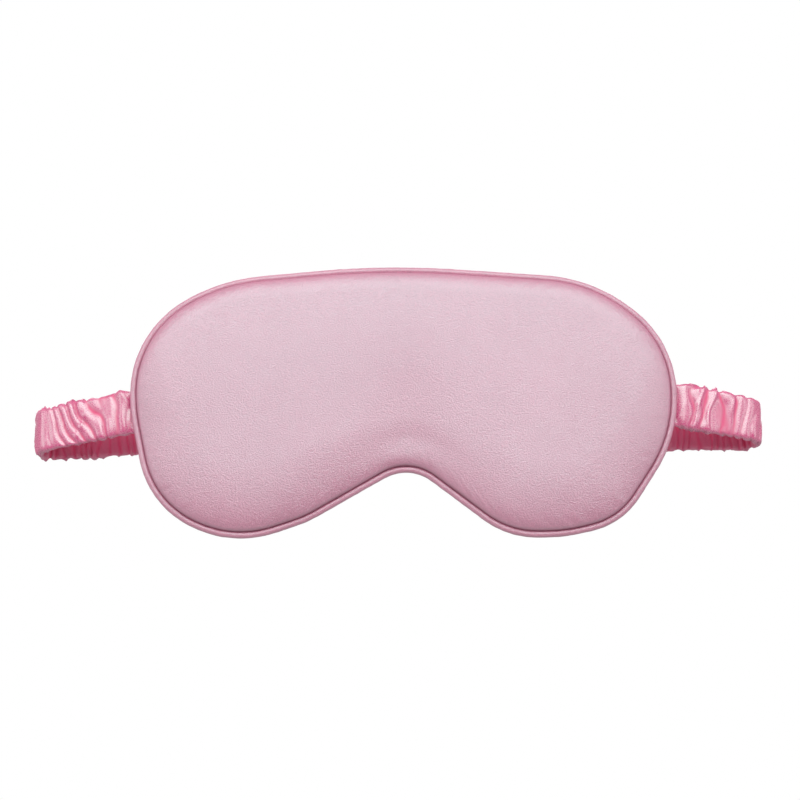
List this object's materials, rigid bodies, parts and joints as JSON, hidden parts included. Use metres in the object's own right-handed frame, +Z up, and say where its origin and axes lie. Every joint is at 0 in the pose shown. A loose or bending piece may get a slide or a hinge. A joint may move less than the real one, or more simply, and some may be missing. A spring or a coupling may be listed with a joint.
{
  "type": "sleep eye mask",
  "caption": "Padded satin sleep eye mask with a piped edge, a nose notch and a gathered elastic strap that opens into a head loop.",
  "frame": {"origin": "middle of the mask on its flat back face, the side that lies on the wearer's face", "axes": "+X to the right seen from the front, +Y from the front of the mask towards the wearer, +Z up as worn"},
  "size_m": [0.2828, 0.0292, 0.1065],
  "materials": {
    "satin_front": "pale pink satin, smooth with a fine crepe grain and a soft broad sheen",
    "satin_back": "pale pink satin",
    "satin_piping": "pink satin bias strip, puckered at the seam",
    "satin_strap": "pink satin gathered into deep folds, glossy",
    "thread": "polyester sewing thread",
    "foam": "soft open foam",
    "wadding": "needled cotton wadding",
    "liner": "black light-blocking lining",
    "cotton_cord": "twisted cotton filler cord",
    "elastic": "flat woven elastic band"
  },
  "bodies": {
    "mask": {"front_cover": "satin_front", "foam_pad": "foam", "blackout_liner": "liner", "back_padding": "wadding", "back_cover": "satin_back", "piping_cord": "cotton_cord", "piping_cover": "satin_piping", "edge_stitching": "thread", "strap_end_left": "satin_strap", "strap_end_right": "satin_strap", "bartack_left": "thread", "bartack_right": "thread"},
    "strap_left_side": {"strap_cover_left_side": "satin_strap", "strap_elastic_left_side": "elastic"},
    "strap_left_rear": {"strap_cover_left_fold": "satin_strap", "strap_elastic_left_fold": "elastic", "strap_cover_left_rear": "satin_strap", "strap_elastic_left_rear": "elastic"},
    "strap_left_middle": {"strap_cover_left_middle": "satin_strap", "strap_elastic_left_middle": "elastic"},
    "strap_right_side": {"strap_cover_right_side": "satin_strap", "strap_elastic_right_side": "elastic"},
    "strap_right_rear": {"strap_cover_right_fold": "satin_strap", "strap_elastic_right_fold": "elastic", "strap_cover_right_rear": "satin_strap", "strap_elastic_right_rear": "elastic"},
    "strap_right_middle": {"strap_cover_right_middle": "satin_strap", "strap_elastic_right_middle": "elastic"}
  },
  "joints": [
    {"name": "strap_open", "type": "hinge", "parent": "mask", "child": "strap_left_side", "pos_m": [-0.107, -0.0018, -0.0065], "axis": [0, 0, -1], "range_deg": [0, 60]},
    {"name": "strap_left_fold", "type": "hinge", "parent": "strap_left_side", "child": "strap_left_rear", "pos_m": [-0.1352, 0.00444, -0.0065], "axis": [0, 0, 1], "range_deg": [0, 91], "deforming": ["strap_cover_left_fold", "strap_elastic_left_fold"]},
    {"name": "strap_left_bend", "type": "hinge", "parent": "strap_left_rear", "child": "strap_left_middle", "pos_m": [-0.07, 0.017, -0.0065], "axis": [0, 0, -1], "range_deg": [0, 31]},
    {"name": "strap_right_open", "type": "hinge", "parent": "mask", "child": "strap_right_side", "pos_m": [0.107, -0.0018, -0.0065], "axis": [0, 0, 1], "range_deg": [0, 57]},
    {"name": "strap_right_fold", "type": "hinge", "parent": "strap_right_side", "child": "strap_right_rear", "pos_m": [0.1312, 0.00499, -0.0065], "axis": [0, 0, -1], "range_deg": [0, 95], "deforming": ["strap_cover_right_fold", "strap_elastic_right_fold"]},
    {"name": "strap_right_bend", "type": "hinge", "parent": "strap_right_rear", "child": "strap_right_middle", "pos_m": [0.07, 0.017, -0.0065], "axis": [0, 0, 1], "range_deg": [0, 39]}
  ],
  "couplings": [
    {"joint": "strap_left_fold", "follows": "strap_open", "ratio": 1.508},
    {"joint": "strap_left_bend", "follows": "strap_open", "ratio": 0.508},
    {"joint": "strap_right_open", "follows": "strap_open", "ratio": 0.938},
    {"joint": "strap_right_fold", "follows": "strap_open", "ratio": 1.578},
    {"joint": "strap_right_bend", "follows": "strap_open", "ratio": 0.64}
  ]
}
